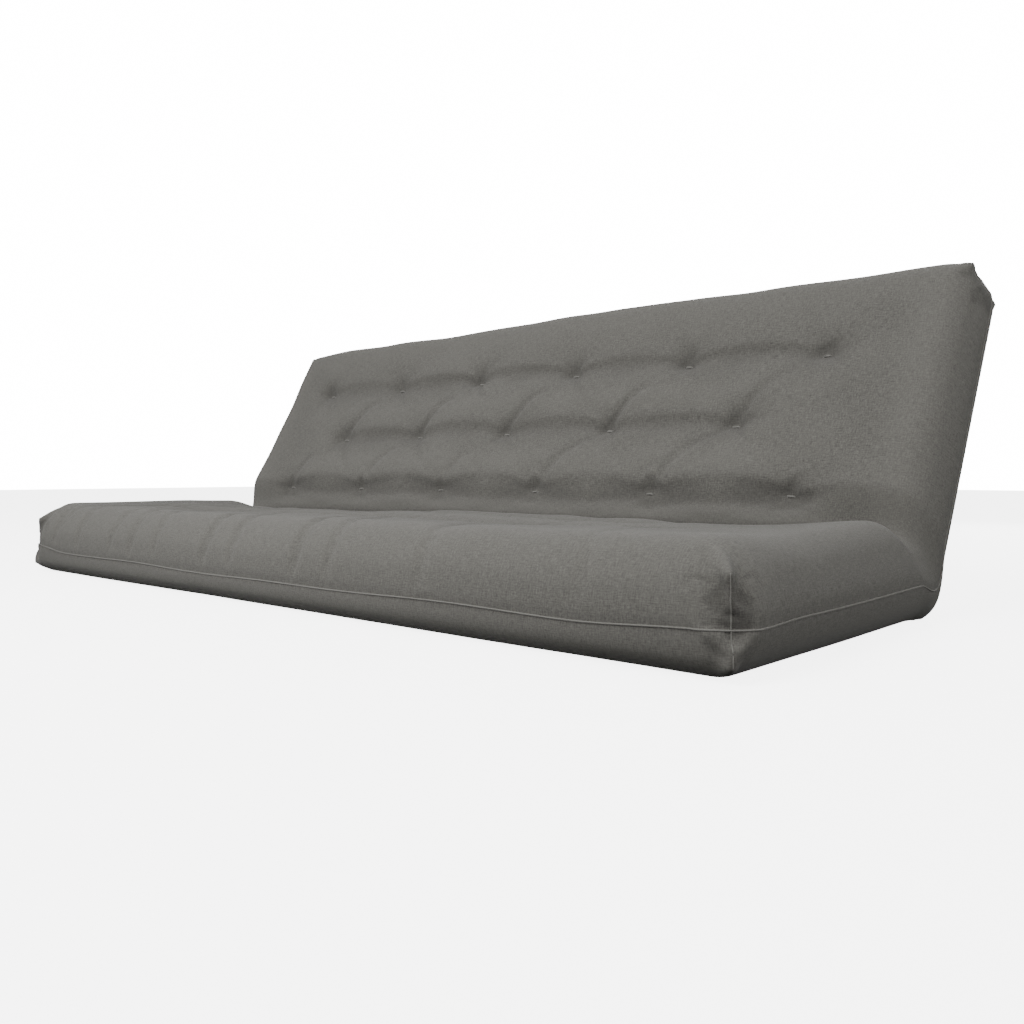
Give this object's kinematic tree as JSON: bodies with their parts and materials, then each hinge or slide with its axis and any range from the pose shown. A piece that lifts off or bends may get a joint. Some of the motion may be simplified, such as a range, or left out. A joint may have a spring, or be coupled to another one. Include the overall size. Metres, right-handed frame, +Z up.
{
  "type": "futon mattress",
  "caption": "Tufted futon mattress folded into a seat and a leaning back, which turn about the fold to lie flat.",
  "frame": {"origin": "on the floor, under the middle of the whole mattress as it is folded into a sofa", "axes": "+X across the sofa, to the right for someone who faces it; +Y to the rear; +Z up. The mattress is symmetric in X."},
  "size_m": [1.9032, 0.9577, 0.6044],
  "materials": {
    "cover_cloth": "matte",
    "seam_thread": "matte",
    "tufting_twine": "matte",
    "cotton_batting": "matte",
    "foam": "matte"
  },
  "bodies": {
    "seat": {"seat_top_panel": "cover_cloth", "seat_bottom_panel": "cover_cloth", "seat_seam": "seam_thread", "seat_upper_batting": "cotton_batting", "seat_foam_core": "foam", "seat_lower_batting": "cotton_batting", "seat_tufts": "tufting_twine", "fold_tufts": "tufting_twine"},
    "back": {"back_top_panel": "cover_cloth", "back_bottom_panel": "cover_cloth", "back_seam": "seam_thread", "back_upper_batting": "cotton_batting", "back_foam_core": "foam", "back_lower_batting": "cotton_batting", "back_tufts": "tufting_twine"}
  },
  "joints": [
    {"name": "fold", "type": "hinge", "parent": "seat", "child": "back", "pos_m": [0, 0.19172, 0], "axis": [1, 0, 0], "range_deg": [-61, 0]}
  ]
}
